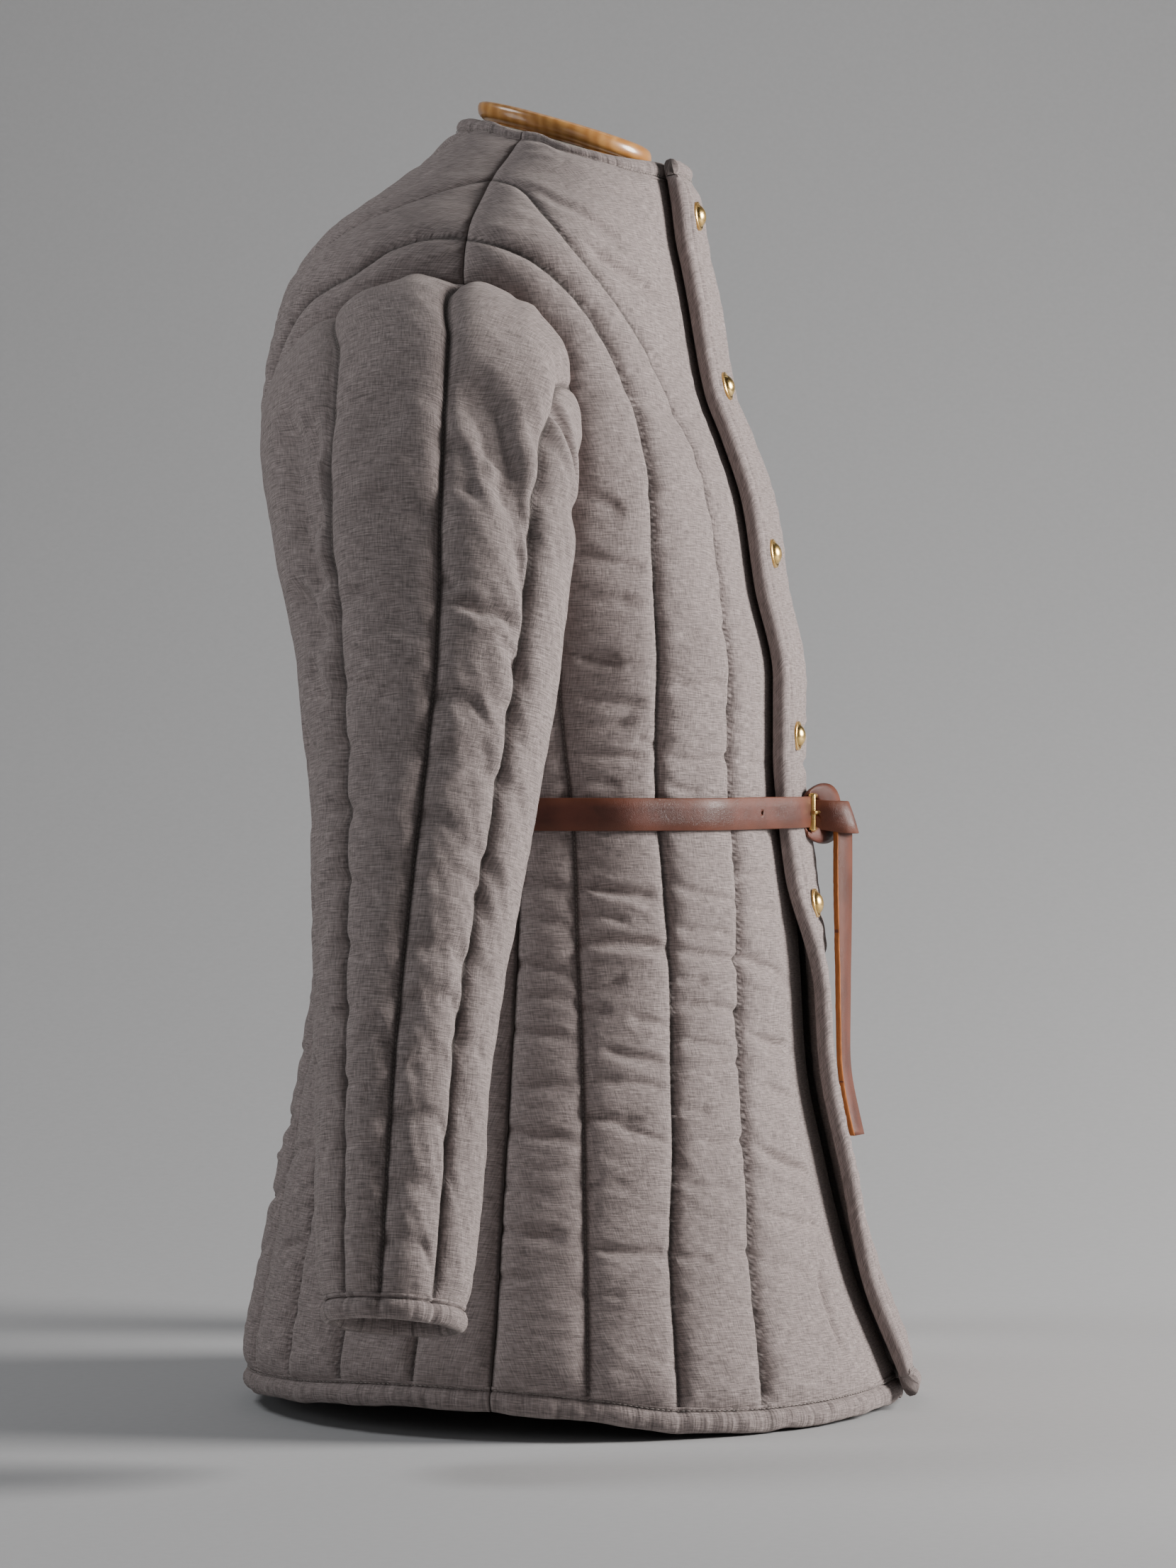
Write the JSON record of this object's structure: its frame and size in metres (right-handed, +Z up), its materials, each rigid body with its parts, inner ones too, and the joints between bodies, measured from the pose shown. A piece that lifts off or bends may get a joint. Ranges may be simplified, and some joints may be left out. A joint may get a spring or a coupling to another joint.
{
  "type": "gambeson on a dress form",
  "caption": "Quilted linen jacket with long sleeves, a buttoned front and a knotted leather belt, worn by a limbless dress form that stands on a low round base.",
  "frame": {"origin": "centre of the stand base's underside, on the floor", "axes": "+Z up; the worn jacket faces -Y; the wearer's right side is at -X"},
  "size_m": [0.8448, 0.4296, 0.8293],
  "materials": {
    "linen": "matte quilted plain weave",
    "binding": "matte plain weave",
    "brass": "polished",
    "leather": "smooth, lightly worn",
    "wood": "varnished",
    "form_cloth": "matte",
    "steel": "satin grey"
  },
  "bodies": {
    "root": {"front_right": "linen", "front_left": "linen", "back": "linen", "sleeve_right": "linen", "sleeve_left": "linen", "hem_binding_right": "binding", "hem_binding_left": "binding", "hem_binding_back": "binding", "neck_binding_right": "binding", "neck_binding_left": "binding", "neck_binding_back": "binding", "cuff_binding_right": "binding", "cuff_binding_left": "binding", "button_1": "brass", "button_2": "brass", "button_3": "brass", "button_4": "brass", "button_5": "brass", "belt_buckle": "brass", "belt_strap": "leather", "belt_knot": "leather", "belt_tail": "leather", "form_neck_cap": "wood", "form_torso": "form_cloth", "form_pole": "steel", "form_base": "steel"}
  },
  "joints": []
}
